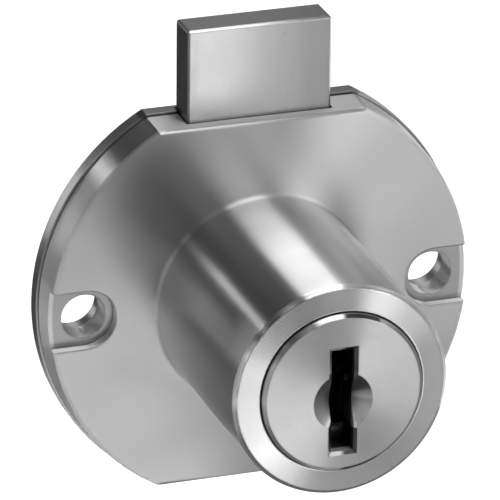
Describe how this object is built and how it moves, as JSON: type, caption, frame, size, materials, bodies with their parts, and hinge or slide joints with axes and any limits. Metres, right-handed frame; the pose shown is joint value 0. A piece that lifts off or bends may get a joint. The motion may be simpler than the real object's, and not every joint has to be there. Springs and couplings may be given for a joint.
{
  "type": "drawer lock",
  "caption": "Drawer lock with a round flat-sided plate, a cylinder barrel with a keyed plug, and a dead bolt that the plug withdraws by a quarter turn.",
  "frame": {"origin": "on the barrel axis in the mounting face, which is the front of the round plate", "axes": "-Y along the barrel towards the user, +Z along the bolt as it locks, +X to the right as seen from the front"},
  "size_m": [0.0388, 0.027, 0.042],
  "materials": {
    "satin_case": "satin nickel plate on a die casting, brushed on the plate and turned on the barrel",
    "satin_cover": "satin nickel plate, plain cast texture",
    "rivet_steel": "bright steel, upset heads",
    "bolt_nickel": "satin nickel plate, fine lengthwise grain",
    "plug_nickel": "satin nickel plate, blasted face",
    "plain_steel": "plain steel with a film of grease",
    "wafer_brass": "stamped brass",
    "spring_wire": "drawn spring wire"
  },
  "bodies": {
    "case": {"case": "satin_case", "back_cover": "satin_cover", "cover_rivets": "rivet_steel"},
    "bolt": {"bolt": "bolt_nickel"},
    "plug": {"plug": "plug_nickel", "driver": "plain_steel", "crank_pin": "plain_steel", "wafer_spring_1": "spring_wire", "wafer_spring_2": "spring_wire", "wafer_spring_3": "spring_wire", "wafer_spring_4": "spring_wire", "wafer_spring_5": "spring_wire", "wafer_spring_6": "spring_wire", "retainer_spring": "spring_wire"},
    "wafer_1": {"wafer_1": "wafer_brass"},
    "wafer_2": {"wafer_2": "wafer_brass"},
    "wafer_3": {"wafer_3": "wafer_brass"},
    "wafer_4": {"wafer_4": "wafer_brass"},
    "wafer_5": {"wafer_5": "wafer_brass"},
    "wafer_6": {"wafer_6": "wafer_brass"},
    "retainer": {"retainer_wafer": "wafer_brass"}
  },
  "joints": [
    {"name": "plug_turn", "type": "hinge", "parent": "case", "child": "plug", "pos_m": [0, 0, 0], "axis": [0, 1, 0], "range_deg": [0, 90]},
    {"name": "bolt_slide", "type": "slide", "parent": "case", "child": "bolt", "axis": [0, 0, -1], "range_m": [0, 0.00806]},
    {"name": "wafer_1_slide", "type": "slide", "parent": "plug", "child": "wafer_1", "axis": [0, 0, -1], "range_m": [-0.0007, 0], "stiffness_N_per_m": 30, "springref_m": -0.0015, "deforming": ["wafer_spring_1"]},
    {"name": "wafer_2_slide", "type": "slide", "parent": "plug", "child": "wafer_2", "axis": [0, 0, -1], "range_m": [-0.0007, 0], "stiffness_N_per_m": 30, "springref_m": -0.0015, "deforming": ["wafer_spring_2"]},
    {"name": "wafer_3_slide", "type": "slide", "parent": "plug", "child": "wafer_3", "axis": [0, 0, -1], "range_m": [-0.0007, 0], "stiffness_N_per_m": 30, "springref_m": -0.0015, "deforming": ["wafer_spring_3"]},
    {"name": "wafer_4_slide", "type": "slide", "parent": "plug", "child": "wafer_4", "axis": [0, 0, -1], "range_m": [-0.0007, 0], "stiffness_N_per_m": 30, "springref_m": -0.0015, "deforming": ["wafer_spring_4"]},
    {"name": "wafer_5_slide", "type": "slide", "parent": "plug", "child": "wafer_5", "axis": [0, 0, -1], "range_m": [-0.0007, 0], "stiffness_N_per_m": 30, "springref_m": -0.0015, "deforming": ["wafer_spring_5"]},
    {"name": "wafer_6_slide", "type": "slide", "parent": "plug", "child": "wafer_6", "axis": [0, 0, -1], "range_m": [-0.0007, 0], "stiffness_N_per_m": 30, "springref_m": -0.0015, "deforming": ["wafer_spring_6"]},
    {"name": "retainer_press", "type": "slide", "parent": "plug", "child": "retainer", "axis": [0, 0, -1], "range_m": [0, 0.0006], "stiffness_N_per_m": 30, "springref_m": -0.0005, "deforming": ["retainer_spring"]}
  ],
  "couplings": [
    {"joint": "plug_turn", "follows": "bolt_slide", "rad_per_m": 194.86}
  ]
}
